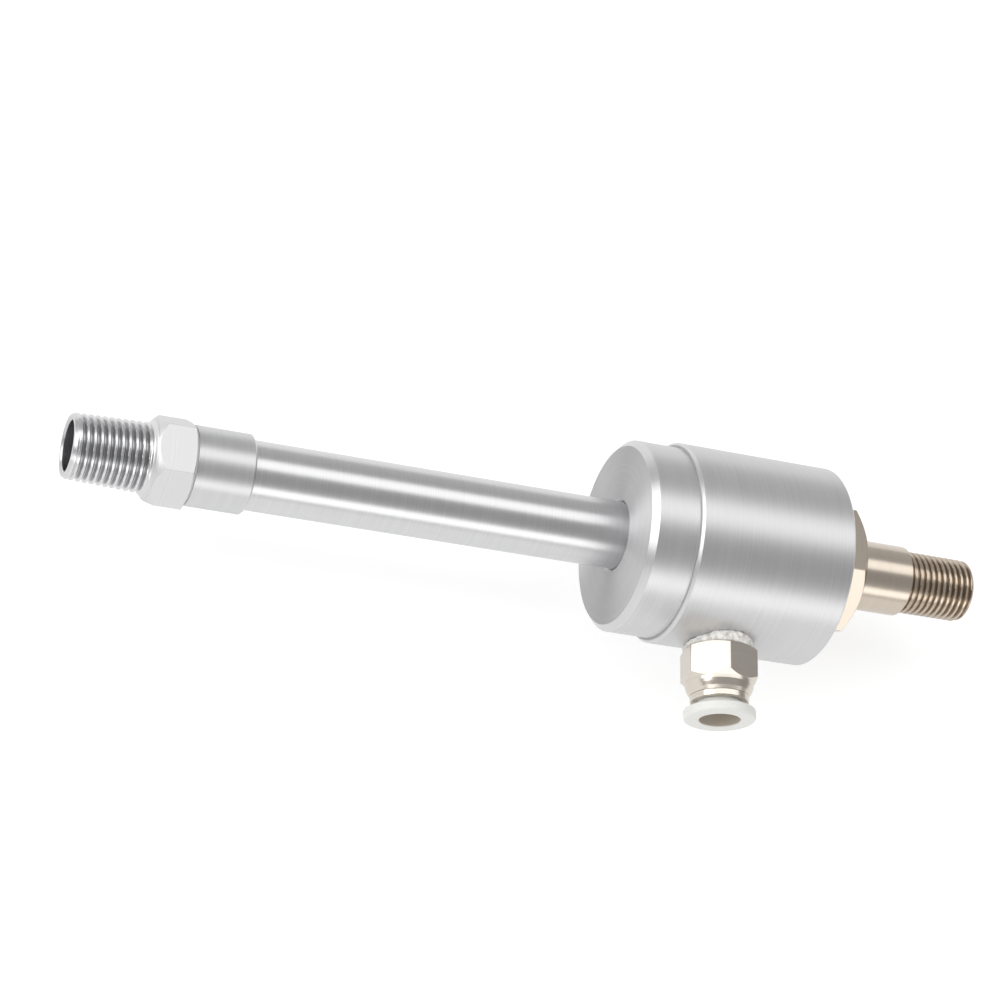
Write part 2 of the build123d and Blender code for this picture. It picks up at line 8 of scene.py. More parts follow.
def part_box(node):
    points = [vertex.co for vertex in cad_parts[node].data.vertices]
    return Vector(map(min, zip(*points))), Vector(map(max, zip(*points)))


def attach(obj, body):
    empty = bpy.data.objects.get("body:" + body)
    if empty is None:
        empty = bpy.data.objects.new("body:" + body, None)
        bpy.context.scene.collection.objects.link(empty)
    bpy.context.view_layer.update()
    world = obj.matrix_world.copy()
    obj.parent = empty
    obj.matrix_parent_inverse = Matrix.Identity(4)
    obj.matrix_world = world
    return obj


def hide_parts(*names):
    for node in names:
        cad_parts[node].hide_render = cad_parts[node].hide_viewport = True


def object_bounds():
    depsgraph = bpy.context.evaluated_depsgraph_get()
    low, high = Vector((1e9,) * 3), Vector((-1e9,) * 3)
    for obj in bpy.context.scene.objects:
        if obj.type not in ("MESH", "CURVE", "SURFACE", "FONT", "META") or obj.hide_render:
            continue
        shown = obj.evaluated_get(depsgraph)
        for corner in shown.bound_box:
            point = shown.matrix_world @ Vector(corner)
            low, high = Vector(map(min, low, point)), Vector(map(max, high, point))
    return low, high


# Vortex tube: a long hot tube with a threaded nipple, a turned body with a push-in air
# inlet on its side, and a nickel-plated cold nipple. X runs along the tube, the inlet
# points along -Y and +Z is up.
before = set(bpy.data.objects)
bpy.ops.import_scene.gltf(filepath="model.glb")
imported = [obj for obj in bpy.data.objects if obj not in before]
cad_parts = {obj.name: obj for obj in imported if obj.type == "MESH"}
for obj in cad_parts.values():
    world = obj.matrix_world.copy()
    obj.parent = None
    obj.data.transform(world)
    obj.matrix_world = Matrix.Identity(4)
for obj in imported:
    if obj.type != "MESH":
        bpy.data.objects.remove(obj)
cad_low, cad_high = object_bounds()


# Camera
# A long lens above and in front of the hot end, rolled so that the tube runs from the
# left edge of the picture down to the right.
camera_place = Vector((-0.277856, -0.221008, 0.508027))
camera_aim = Vector((-0.075894, 0.003471, 0.0))
camera_roll = math.radians(47.139188)
focal_length = 107.0024
film_width = 36.0
lens = bpy.data.cameras.new("photo_camera")
lens.lens = focal_length
lens.sensor_width = film_width
camera = bpy.data.objects.new("photo_camera", lens)
camera.location = camera_place
camera.rotation_mode = "QUATERNION"
looking = (camera_aim - camera_place).to_track_quat("-Z", "Y")
camera.rotation_quaternion = looking @ Quaternion((0, 0, 1), camera_roll)
bpy.context.scene.collection.objects.link(camera)
bpy.context.scene.camera = camera
bpy.context.scene.view_settings.view_transform = "Standard"


# Studio
# A white sheet under the part, with a grey room round it. Two long soft boxes light the
# tube, one nearly overhead and one low in front, and a third stands beyond the hot end.
def colour(code):
    """Linear colour of an sRGB hex value."""
    channels = [int(code[k:k + 2], 16) / 255 for k in (1, 3, 5)]
    linear = [c / 12.92 if c <= 0.04045 else ((c + 0.055) / 1.055) ** 2.4 for c in channels]
    return (*linear, 1.0)


def add_node(tree, kind, inputs=None, **settings):
    """Adds a node. Each input takes a number, a colour, or the socket that feeds it."""
    added = tree.nodes.new(kind)
    for name, value in settings.items():
        setattr(added, name, value)
    for name, value in (inputs or {}).items():
        if isinstance(value, bpy.types.NodeSocket):
            tree.links.new(value, added.inputs[name])
        else:
            added.inputs[name].default_value = value
    return added


def bare_material(name):
    """A material whose node tree is still empty."""
    material = bpy.data.materials.new(name)
    material.use_nodes = True
    material.node_tree.nodes.clear()
    return material


sheet_reach = 3.0
sheet_drop = 0.0002
sheet_mesh = bpy.data.meshes.new("white_sheet")
sheet_corners = [(-1, -1), (1, -1), (1, 1), (-1, 1)]
sheet_mesh.from_pydata(
    [(sheet_reach * x, sheet_reach * y, cad_low.z - sheet_drop) for x, y in sheet_corners],
    [],
    [(0, 1, 2, 3)],
)
sheet = bpy.data.objects.new("white_sheet", sheet_mesh)
bpy.context.scene.collection.objects.link(sheet)

# Matt white paper: lit by the room, with a glow of its own towards the camera and in
# mirrors, so that it reads as pure white and still keeps the part's shadow
paper_glow = 0.7
paper = bare_material("matt_white_paper")
tree = paper.node_tree
rays = add_node(tree, "ShaderNodeLightPath")
seen_or_mirrored = add_node(
    tree,
    "ShaderNodeMath",
    {0: rays.outputs["Is Camera Ray"], 1: rays.outputs["Is Glossy Ray"]},
    operation="MAXIMUM",
)
seen_at_all = add_node(
    tree,
    "ShaderNodeMath",
    {0: seen_or_mirrored.outputs[0], 1: rays.outputs["Is Transmission Ray"]},
    operation="MAXIMUM",
)
lit = add_node(tree, "ShaderNodeBsdfDiffuse", {"Color": colour("#E8E8E8")})
faintly_lit = add_node(tree, "ShaderNodeBsdfDiffuse", {"Color": colour("#B0B0B0")})
glow = add_node(
    tree, "ShaderNodeEmission", {"Color": colour("#FFFFFF"), "Strength": paper_glow}
)
bright = add_node(
    tree, "ShaderNodeAddShader", {0: faintly_lit.outputs[0], 1: glow.outputs[0]}
)
chosen = add_node(
    tree,
    "ShaderNodeMixShader",
    {0: seen_at_all.outputs[0], 1: lit.outputs[0], 2: bright.outputs[0]},
)
add_node(tree, "ShaderNodeOutputMaterial", {"Surface": chosen.outputs[0]})
sheet_mesh.materials.append(paper)

# The room's walls are light grey. Its ceiling is darker, and so are the two walls that
# the tube points at.
wall_level = 1.3
ceiling_level = 0.92
end_wall_share = 0.6
room = bpy.data.worlds.new("grey_room")
room.use_nodes = True
tree = room.node_tree
way = add_node(tree, "ShaderNodeTexCoord").outputs["Generated"]
heading = add_node(tree, "ShaderNodeSeparateXYZ", {0: way})
ceiling = add_node(
    tree,
    "ShaderNodeMapRange",
    {
        "Value": heading.outputs["Z"],
        "From Min": 0.3,
        "From Max": 0.85,
        "To Min": wall_level,
        "To Max": ceiling_level,
    },
    interpolation_type="SMOOTHSTEP",
).outputs["Result"]
endwise = add_node(
    tree, "ShaderNodeMath", {0: heading.outputs["X"]}, operation="ABSOLUTE"
).outputs[0]
end_wall = add_node(
    tree,
    "ShaderNodeMapRange",
    {
        "Value": endwise,
        "From Min": 0.5,
        "From Max": 0.9,
        "To Min": 1.0,
        "To Max": end_wall_share,
    },
    interpolation_type="SMOOTHSTEP",
).outputs["Result"]
room_level = add_node(
    tree, "ShaderNodeMath", {0: ceiling, 1: end_wall}, operation="MULTIPLY"
).outputs[0]
tree.nodes["Background"].inputs["Color"].default_value = colour("#B4B4B4")
tree.links.new(room_level, tree.nodes["Background"].inputs["Strength"])
bpy.context.scene.world = room

# name, place, what it is aimed at, width across the tube, length along it, brightness
tube_middle = Vector((-0.10, 0.0, 0.0))
part_middle = Vector((-0.06, 0.0, 0.0))
soft_boxes = [
    ("overhead_soft_box", Vector((-0.10, 0.300, 0.850)), tube_middle, 0.52, 2.4, 1.35),
    ("front_soft_box", Vector((-0.10, -0.85, 0.326)), tube_middle, 0.38, 2.4, 1.5),
    ("hot_end_soft_box", Vector((-0.92, 0.16, 0.36)), part_middle, 1.0, 0.5, 2.4),
]
for name, place, aim, width, length, radiance in soft_boxes:
    lamp = bpy.data.lights.new(name, "AREA")
    lamp.shape = "RECTANGLE"
    lamp.size = length
    lamp.size_y = width
    lamp.energy = radiance * math.pi * width * length
    box = bpy.data.objects.new(name, lamp)
    towards = (aim - place).normalized()
    across = towards.cross(Vector((1, 0, 0))).normalized()
    along = across.cross(towards)
    turned = Matrix((along, across, -towards)).transposed().to_4x4()
    box.matrix_world = Matrix.Translation(place) @ turned
    bpy.context.scene.collection.objects.link(box)


# Main body
# A disc of bar aluminium, turned all over and brushed on the lathe, with a port in its
# side for the inlet fitting. Its edges are broken with a small chamfer.
MM = 0.001


def reach(node):
    """Where a turned piece starts and ends along X, and its radius, in millimetres."""
    low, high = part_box(node)
    return low.x / MM, high.x / MM, max(high.y, high.z) / MM


def eased(corners):
    """Points round a closed profile, one list for each corner, which is rounded off.

    A corner is (place, radius, rounding); a fourth value, True, says that the run after
    it lies on the flats of a hexagon. A point is (place, radius, normal along, normal
    outwards, share of the flat). The profile runs anticlockwise, and a rounding takes
    less than half of each run beside it.
    """
    most_of_a_run = 0.45
    straight = 1e-6
    rounded = []
    for k, corner in enumerate(corners):
        before, after = corners[k - 1], corners[(k + 1) % len(corners)]
        here = Vector(corner[:2])
        arriving, leaving = here - Vector(before[:2]), Vector(after[:2]) - here
        room_for_it = most_of_a_run * min(arriving.length, leaving.length)
        turn = -arriving.angle_signed(leaving)
        slope = math.tan(abs(turn) / 2)
        cut = min(corner[2] * slope, room_for_it)
        radius = cut / slope if slope > straight else 0.0
        inward = -1 if turn < 0 else 1
        arriving.normalize()
        first = Vector((arriving.y, -arriving.x))
        middle = here - arriving * cut - first * radius * inward
        flat_before = float(len(before) > 3)
        flat_after = float(len(corner) > 3)
        steps = 3 + int(6 * corner[2])  # more points on a larger rounding
        arc = []
        for step in range(steps + 1):
            share = step / steps
            c, s = math.cos(turn * share), math.sin(turn * share)
            normal = Vector((first.x * c - first.y * s, first.x * s + first.y * c))
            place = middle + normal * radius * inward
            flat = flat_before + (flat_after - flat_before) * share
            arc.append((place.x, place.y, normal.x, normal.y, flat))
        rounded.append(arc)
    return rounded


def spun_mesh(name, columns, profile):
    """A closed mesh round the X axis with one profile for each column.

    A column is (angle, hexagon radius there, the way that its flat faces). A profile's
    point is (place, radius, normal along, normal outwards, normal sideways).
    """
    places = []
    normals = []
    for angle, wall, facing in columns:
        c, s = math.cos(angle), math.sin(angle)
        for x, r, along, outwards, sideways in profile(angle, wall, facing):
            places.append((x * MM, r * c * MM, r * s * MM))
            normals.append((along, outwards * c - sideways * s, outwards * s + sideways * c))
    rows = len(places) // len(columns)
    faces = []
    for j in range(len(columns)):
        here, beside = j * rows, (j + 1) % len(columns) * rows
        for i in range(rows):
            on = (i + 1) % rows
            faces.append((here + i, here + on, beside + on, beside + i))
    mesh = bpy.data.meshes.new(name)
    mesh.from_pydata(places, [], faces)
    mesh.shade_smooth()
    mesh.normals_split_custom_set_from_vertices(normals)
    return mesh


def turned_mesh(name, corners, around):
    """A closed mesh turned from one profile of corners, with as many columns around."""
    ring = [
        (x, r, along, outwards, 0.0)
        for arc in eased(corners)
        for x, r, along, outwards, flat in arc
    ]
    columns = [(2 * math.pi * k / around, None, None) for k in range(around)]
    return spun_mesh(name, columns, lambda angle, wall, facing: ring)


def finished(name, mesh, material, slot, body, *nodes):
    """Puts a piece in the scene with its material, on its body, in place of its nodes."""
    piece = bpy.data.objects.new(name, mesh)
    bpy.context.scene.collection.objects.link(piece)
    mesh.materials.append(material)
    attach(piece, body)
    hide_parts(*nodes)
    return piece


def cut_away(piece, cutter_mesh):
    """Cuts a closed mesh out of a piece and shades what is left by the size of its faces."""
    cutter = bpy.data.objects.new("cutter", cutter_mesh)
    bpy.context.scene.collection.objects.link(cutter)
    cutting = piece.modifiers.new("cut", "BOOLEAN")
    cutting.operation = "DIFFERENCE"
    cutting.solver = "EXACT"
    cutting.object = cutter
    smoothing = piece.modifiers.new("shade", "WEIGHTED_NORMAL")
    smoothing.keep_sharp = True
    graph = bpy.context.evaluated_depsgraph_get()
    cut = bpy.data.meshes.new_from_object(piece.evaluated_get(graph))
    piece.modifiers.clear()
    piece.data = cut
    bpy.data.objects.remove(cutter)


def lathe_marks(tree, spacing, centre=(0, 0, 0), across=(0, 1, 1), along=(1, 0, 0)):
    """Fine rings round an axis, as a value about a half. Spacing is in millimetres.

    The rings follow the place along the axis on a shell, and the radius on a face. They
    fade in and out over about 25 mm on their way round.
    """
    fade_length = 25
    spot = add_node(tree, "ShaderNodeTexCoord").outputs["Object"]
    spot = add_node(
        tree, "ShaderNodeVectorMath", {0: spot, 1: centre}, operation="SUBTRACT"
    ).outputs[0]
    sideways = add_node(
        tree, "ShaderNodeVectorMath", {0: spot, 1: across}, operation="MULTIPLY"
    ).outputs[0]
    radius = add_node(
        tree, "ShaderNodeVectorMath", {0: sideways}, operation="LENGTH"
    ).outputs["Value"]
    place = add_node(
        tree, "ShaderNodeVectorMath", {0: spot, 1: along}, operation="DOT_PRODUCT"
    ).outputs["Value"]
    travel = add_node(tree, "ShaderNodeMath", {0: place, 1: radius}, operation="ADD").outputs[0]
    tool_path = add_node(
        tree, "ShaderNodeMath", {0: travel, 1: 1 / (spacing * MM)}, operation="MULTIPLY"
    ).outputs[0]
    drift = add_node(
        tree,
        "ShaderNodeVectorMath",
        {0: sideways, "Scale": 1 / (fade_length * MM)},
        operation="SCALE",
    ).outputs[0]
    path = add_node(tree, "ShaderNodeCombineXYZ", {"X": tool_path}).outputs[0]
    rings = add_node(
        tree, "ShaderNodeVectorMath", {0: path, 1: drift}, operation="ADD"
    ).outputs[0]
    return add_node(
        tree, "ShaderNodeTexNoise", {"Vector": rings, "Scale": 1.0, "Detail": 3.0}
    ).outputs["Fac"]


# Nearly all of a noise pattern lies between these two values
noise_low, noise_high = 0.3, 0.7

# Turned and brushed aluminium: mid grey and neutral, with broad soft bands along the
# part where the brushing spreads each reflection, and hair-fine rings. The rings are
# about 0.1 mm apart and drawn at 0.25 mm so that they show. Faces that were faced off
# have fainter rings and a lower gloss, and the chamfers are cut bright. The tube is
# polished a little brighter than the rest. The cap's face spreads light into a bright
# sector, as coarse rings do.
marks_spacing = 0.25
polish_on_chamfers = -0.12
dulling_on_faces = 0.4
ring_relief_round = 0.25
ring_relief_on_faces = 0.06
quarter_turn = 0.25
aluminium = {}
for name, smoothest, roughest, streak in (
    ("turned_brushed_aluminium", 0.42, 0.50, 0.58),
    ("polished_aluminium_tube", 0.31, 0.37, 0.58),
    ("faced_off_aluminium", 0.38, 0.46, 0.85),
):
    aluminium[name] = bare_material(name)
    tree = aluminium[name].node_tree
    marks = lathe_marks(tree, marks_spacing)
    facing = add_node(tree, "ShaderNodeTexCoord").outputs["Normal"]
    facing_along = add_node(tree, "ShaderNodeSeparateXYZ", {0: facing}).outputs["X"]
    on_face = add_node(
        tree, "ShaderNodeMath", {0: facing_along}, operation="ABSOLUTE"
    ).outputs[0]
    tint = add_node(
        tree,
        "ShaderNodeMix",
        {"Factor": marks, 6: colour("#C2C2C3"), 7: colour("#D8D8D9")},
        data_type="RGBA",
    )
    gloss = add_node(
        tree,
        "ShaderNodeMapRange",
        {
            "Value": marks,
            "From Min": noise_low,
            "From Max": noise_high,
            "To Min": smoothest,
            "To Max": roughest,
        },
    ).outputs["Result"]

    # The normal's share along the axis is 0 on the round, 0.7 on a chamfer and 1 on a face
    chamfer_polish = add_node(
        tree,
        "ShaderNodeMapRange",
        {
            "Value": on_face,
            "From Min": 0.3,
            "From Max": 0.65,
            "To Min": 0.0,
            "To Max": polish_on_chamfers,
        },
    ).outputs["Result"]
    facing_off = add_node(
        tree,
        "ShaderNodeMapRange",
        {
            "Value": on_face,
            "From Min": 0.8,
            "From Max": 1.0,
            "To Min": 0.0,
            "To Max": dulling_on_faces,
        },
    ).outputs["Result"]
    edge_gloss = add_node(
        tree, "ShaderNodeMath", {0: gloss, 1: chamfer_polish}, operation="ADD"
    ).outputs[0]
    face_gloss = add_node(
        tree, "ShaderNodeMath", {0: edge_gloss, 1: facing_off}, operation="ADD"
    ).outputs[0]
    ring_depth = add_node(
        tree,
        "ShaderNodeMapRange",
        {"Value": on_face, "To Min": ring_relief_round, "To Max": ring_relief_on_faces},
    ).outputs["Result"]
    relief = add_node(
        tree,
        "ShaderNodeBump",
        {"Height": marks, "Strength": ring_depth, "Distance": 0.02 * MM},
    )
    rings_direction = add_node(tree, "ShaderNodeTangent", direction_type="RADIAL", axis="X")
    shader = add_node(
        tree,
        "ShaderNodeBsdfPrincipled",
        {
            "Base Color": tint.outputs["Result"],
            "Metallic": 1.0,
            "Roughness": face_gloss,
            "Anisotropic": streak,
            "Anisotropic Rotation": quarter_turn,
            "Normal": relief.outputs["Normal"],
            "Tangent": rings_direction.outputs["Tangent"],
        },
    )
    add_node(tree, "ShaderNodeOutputMaterial", {"Surface": shader.outputs[0]})

# Roundings of edges, in millimetres: a broken edge, and one left nearly sharp
broken = 0.1
crisp = 0.05

body_hot, body_cold, body_radius = reach("main_body")
nozzles_radius = reach("swirl_generator")[2]
orifice_cold = reach("cold_orifice")[1]
disc_columns = 240

# Places along X and radii of the body's chamfers, ports, air chamber, web and ring groove
hot_chamfer = 0.5
cold_chamfer = 0.4
cap_port = 15.05
cold_port = 10.05
port_mouth = 1.88
plenum_hot = -35.0
plenum_cold = -21.2
plenum_radius = 12.5
web_cold = -16.0
web_hole = 5.0
pilot_play = 0.05
pilot_radius = nozzles_radius + pilot_play
ring_clearance = 0.02
web_ring = reach("orifice_o_ring")[2] + ring_clearance
web_ring_width = 1.24
body_corners = [
    (body_hot, cap_port + port_mouth, broken),
    (body_hot + port_mouth, cap_port, broken),
    (plenum_hot, cap_port, broken),
    (plenum_hot, plenum_radius, broken),
    (plenum_cold, plenum_radius, broken),
    (plenum_cold, pilot_radius, broken),
    (orifice_cold, pilot_radius, broken),
    (orifice_cold, web_ring, crisp),
    (orifice_cold + web_ring_width, web_ring, crisp),
    (orifice_cold + web_ring_width, web_ring - web_ring_width, crisp),
    (orifice_cold, web_ring - web_ring_width, crisp),
    (orifice_cold, web_hole, broken),
    (web_cold, web_hole, broken),
    (web_cold, cold_port, broken),
    (body_cold - port_mouth, cold_port, broken),
    (body_cold, cold_port + port_mouth, broken),
    (body_cold, body_radius - cold_chamfer, broken),
    (body_cold - cold_chamfer, body_radius, broken),
    (body_hot + hot_chamfer, body_radius, broken),
    (body_hot, body_radius - hot_chamfer, broken),
]
main_body = finished(
    "body_turning",
    turned_mesh("body_turning", body_corners, disc_columns),
    aluminium["turned_brushed_aluminium"],
    "turned_aluminium",
    "housing",
    "main_body",
)

# The inlet's port: a taper of 1 in 16 from outside the body to near its axis. A place
# along the inlet is a distance from the tube's axis.
inlet_x = (plenum_hot + plenum_cold) / 2
to_inlet = Matrix(((0, 1, 0, inlet_x * MM), (-1, 0, 0, 0), (0, 0, 1, 0), (0, 0, 0, 1)))
port_start, port_end = 5.0, 25.0
port_start_radius, port_end_radius = 6.20, 6.83
port_columns = 96
port = bpy.data.meshes.new("port")
shape = bmesh.new()
bmesh.ops.create_cone(
    shape,
    cap_ends=True,
    segments=port_columns,
    radius1=port_start_radius * MM,
    radius2=port_end_radius * MM,
    depth=(port_end - port_start) * MM,
)
shape.transform(
    to_inlet
    @ Matrix.Translation(((port_start + port_end) / 2 * MM, 0, 0))
    @ Matrix.Rotation(math.pi / 2, 4, "Y")
)
shape.to_mesh(port)
shape.free()
cut_away(main_body, port)


# End cap
# A turned aluminium disc, screwed into the body. Its face was faced off on the lathe, so
# its rings lie round the tube, and a wide chamfer runs round the rim.
cap_face, cap_nose, cap_radius = reach("end_cap")
cap_chamfer = 1.3
cap_mouth = 0.5
cap_thread = 15.0
cap_thread_end = -35.3
cap_nose_radius = 10.0
tube_hole = 6.9
tube_ring_start, tube_ring_end, tube_ring_radius = reach("tube_o_ring")
ring_play = 0.3
groove_radius = tube_ring_radius + ring_clearance
square_to_axis = 0.9
cap_corners = [
    (cap_face, tube_hole + cap_mouth, crisp),
    (cap_face + cap_mouth, tube_hole, crisp),
    (tube_ring_start - ring_play, tube_hole, crisp),
    (tube_ring_start - ring_play, groove_radius, crisp),
    (tube_ring_end + ring_play, groove_radius, crisp),
    (tube_ring_end + ring_play, tube_hole, crisp),
    (cap_nose, tube_hole, crisp),
    (cap_nose, cap_nose_radius, broken),
    (cap_thread_end, cap_nose_radius, broken),
    (cap_thread_end, cap_thread, broken),
    (body_hot, cap_thread, crisp),
    (body_hot, cap_radius, broken),
    (cap_face + cap_chamfer, cap_radius, broken),
    (cap_face, cap_radius - cap_chamfer, broken),
]
end_cap = finished(
    "cap_turning",
    turned_mesh("cap_turning", cap_corners, disc_columns),
    aluminium["turned_brushed_aluminium"],
    "turned_aluminium",
    "housing",
    "end_cap",
)
end_cap.data.materials.append(aluminium["faced_off_aluminium"])
for face in end_cap.data.polygons:
    if face.normal.x < -square_to_axis:
        face.material_index = 1


# Hot tube
# A drawn aluminium tube, polished on the lathe, that passes through the cap and ends in
# a flange against the nozzle ring.
tube_end, flange_cold, flange_radius = reach("hot_tube")
tube_radius = 6.85
tube_bore = 5.0
tube_columns = 160
tube_corners = [
    (tube_end, tube_bore, broken),
    (flange_cold, tube_bore, broken),
    (flange_cold, flange_radius, broken),
    (cap_nose, flange_radius, broken),
    (cap_nose, tube_radius, broken),
    (tube_end, tube_radius, broken),
]
finished(
    "tube_turning",
    turned_mesh("tube_turning", tube_corners, tube_columns),
    aluminium["polished_aluminium_tube"],
    "turned_aluminium",
    "housing",
    "hot_tube",
)


# Hot end sleeve
# A short aluminium collar, pushed over the end of the tube and brushed like the body.
sleeve_hot, sleeve_cold, sleeve_radius = reach("hot_end_sleeve")
sleeve_chamfer = 0.4
sleeve_corners = [
    (sleeve_hot, tube_hole, crisp),
    (sleeve_cold, tube_hole, crisp),
    (sleeve_cold, sleeve_radius - sleeve_chamfer, crisp),
    (sleeve_cold - sleeve_chamfer, sleeve_radius, crisp),
    (sleeve_hot, sleeve_radius, broken),
]
finished(
    "sleeve_turning",
    turned_mesh("sleeve_turning", sleeve_corners, tube_columns),
    aluminium["turned_brushed_aluminium"],
    "turned_aluminium",
    "housing",
    "hot_end_sleeve",
)


# Hot end gasket
# A thin ring cut from pressed fibre sheet, pale grey and quite matt, with short fibres that
# show as flecks about 0.2 mm long.
fibre = bare_material("pressed_fibre_sheet")
tree = fibre.node_tree
spot = add_node(tree, "ShaderNodeTexCoord").outputs["Object"]
flecks = add_node(
    tree, "ShaderNodeTexNoise", {"Vector": spot, "Scale": 1 / (0.2 * MM), "Detail": 3.0}
).outputs["Fac"]
tint = add_node(
    tree,
    "ShaderNodeMix",
    {"Factor": flecks, 6: colour("#C4C4C4"), 7: colour("#E2E2E2")},
    data_type="RGBA",
)
relief = add_node(
    tree, "ShaderNodeBump", {"Height": flecks, "Strength": 0.5, "Distance": 0.05 * MM}
)
shader = add_node(
    tree,
    "ShaderNodeBsdfPrincipled",
    {
        "Base Color": tint.outputs["Result"],
        "Roughness": 0.85,
        "Normal": relief.outputs["Normal"],
    },
)
add_node(tree, "ShaderNodeOutputMaterial", {"Surface": shader.outputs[0]})


def dress(material, *node_names):
    """Gives nodes whose shapes are right a material."""
    for node_name in node_names:
        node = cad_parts[node_name]
        node.data.materials.clear()
        node.data.materials.append(material)


dress(fibre, "hot_end_gasket")


# Hot end nipple
# Aluminium hexagon bar, turned to a hollow nose with a quarter inch taper pipe thread.
# The flats are as milled. The thread is right-hand, begins behind a short plain nose and
# runs out at the shoulder, and its crests are worn flat.

# The thread's pitch and depth, its taper of 1 in 16 and its crest radius at the small end
PITCH = 1.337
DEPTH_SHARE = 0.6403
THREAD_DEPTH = DEPTH_SHARE * PITCH
THREAD_TAPER = 1 / 32
THREAD_END_RADIUS = 6.39


def hexagon_columns(across_flats, corner_angle, rounding, per_flat, per_corner=2):
    """Columns round a hexagon with rounded corners: angle, radius, way that it faces."""
    apothem = across_flats / 2
    reach_of_flat = (apothem - rounding) * math.tan(math.pi / 6)
    columns = []
    for side in range(6):
        facing = math.radians(corner_angle + 30 + 60 * side)
        for k in range(per_flat + 1):
            offset = reach_of_flat * (2 * k / per_flat - 1)
            angle = facing + math.atan2(offset, apothem)
            columns.append((angle, math.hypot(apothem, offset), facing))
        core = (apothem - rounding) / math.cos(math.pi / 6)
        corner = facing + math.pi / 6
        for k in range(1, per_corner + 1):
            way = corner + math.radians(60 * k / (per_corner + 1) - 30)
            spot = core * Vector((math.cos(corner), math.sin(corner)))
            spot += rounding * Vector((math.cos(way), math.sin(way)))
            columns.append((math.atan2(spot.y, spot.x), spot.length, way))
    return columns


def thread_drop(turns, worn):
    """Depth below the crest, as a share of the full depth, of a rounded 55 degree thread.

    The share given as worn is missing from the crests, which it leaves flat.
    """
    # Shares of the pitch: the rounding of crest and root, and the drop where the flank starts
    rounding = 0.1373
    flank_start = 0.0739
    flank_angle = 27.5
    contact = rounding * math.sin(math.radians(90 - flank_angle))
    across = abs(turns - round(turns))
    if across < contact:
        drop = rounding - math.sqrt(rounding**2 - across**2)
    elif across > 0.5 - contact:
        rest = 0.5 - across
        drop = DEPTH_SHARE - (rounding - math.sqrt(rounding**2 - rest**2))
    else:
        drop = flank_start + (across - contact) / math.tan(math.radians(flank_angle))
    return max(0.0, drop / DEPTH_SHARE - worn) / (1 - worn)


def thread_rows(angle, places, crest, limit, depth_at, phase, worn):
    """Points along a threaded cone at one angle, each with its normal."""
    aside = 0.01
    turned_aside = 0.002

    def radius(x, turned):
        turns = x / PITCH - turned / (2 * math.pi) + phase
        return min(crest(x) - depth_at(x) * thread_drop(turns, worn), limit(x))

    rows = []
    for x in places:
        r = radius(x, angle)
        rise = radius(x + aside, angle) - radius(x - aside, angle)
        swing = radius(x, angle + turned_aside) - radius(x, angle - turned_aside)
        normal = Vector((-rise / (2 * aside), 1.0, -swing / (2 * turned_aside * r)))
        normal.normalize()
        rows.append((x, r, *normal))
    return rows


def column_points(arcs, angle, facing):
    """Local normals for the points of rounded corners, turned to the flat where they lie on it."""
    lean = 0.0 if facing is None else (facing - angle + math.pi) % (2 * math.pi) - math.pi
    return [
        (x, r, along, outwards * math.cos(flat * lean), outwards * math.sin(flat * lean))
        for arc in arcs
        for x, r, along, outwards, flat in arc
    ]


def spread(start, end, step):
    """Evenly spaced places from start to end, about a step apart."""
    count = max(2, round(abs(end - start) / step))
    return [start + (end - start) * k / count for k in range(count + 1)]


hot_end, spigot_end = reach("hot_end_nipple")[:2]
hot_bore = 4.95
hot_mouth = 0.35
hot_thread_length = 14.7
hot_shoulder = 1.2
hot_shoulder_radius = 7.75
hot_thread = hot_end + hot_thread_length
hot_hex_front = hot_thread + hot_shoulder
gasket_thickness = 0.4
hot_hex_rear = sleeve_hot - gasket_thickness
hot_across_flats = 16.0
hot_corner_angle = 2.3
hot_corner_round = 0.12
flat_columns = 22
hot_front_chamfer = 1.4
hot_rear_chamfer = 0.45
hot_apothem = hot_across_flats / 2
hot_corner = hot_apothem / math.cos(math.pi / 6)
hot_lead_radius = 6.03
hot_lead_slope = 0.55
hot_plain_nose = 0.85
hot_phase = -0.17
hot_worn = 0.2
hot_fade_in = 0.4 * PITCH
hot_run_out = 1.3 * PITCH
row_step = PITCH / 16
row_margin = 0.06
hot_places = spread(hot_hex_front - row_margin, hot_end + row_margin, row_step)


def hot_crest(x):
    """Radius over the crests: a cone, then the rise to the shoulder."""
    cone = THREAD_END_RADIUS + (x - hot_end) * THREAD_TAPER
    up_the_shoulder = max(0.0, x - hot_thread) / hot_shoulder
    return cone + (hot_shoulder_radius - cone) * up_the_shoulder


def hot_lead(x):
    """Radius of the chamfer that leads into the thread."""
    return hot_lead_radius + (x - hot_end) * hot_lead_slope


def hot_depth(x):
    """Depth of the thread, which fades in behind the plain nose and runs out again."""
    fading_in = max(0.0, x - hot_end - hot_plain_nose) / hot_fade_in
    running_out = max(0.0, hot_hex_front - x) / hot_run_out
    return THREAD_DEPTH * min(1.0, fading_in, running_out)


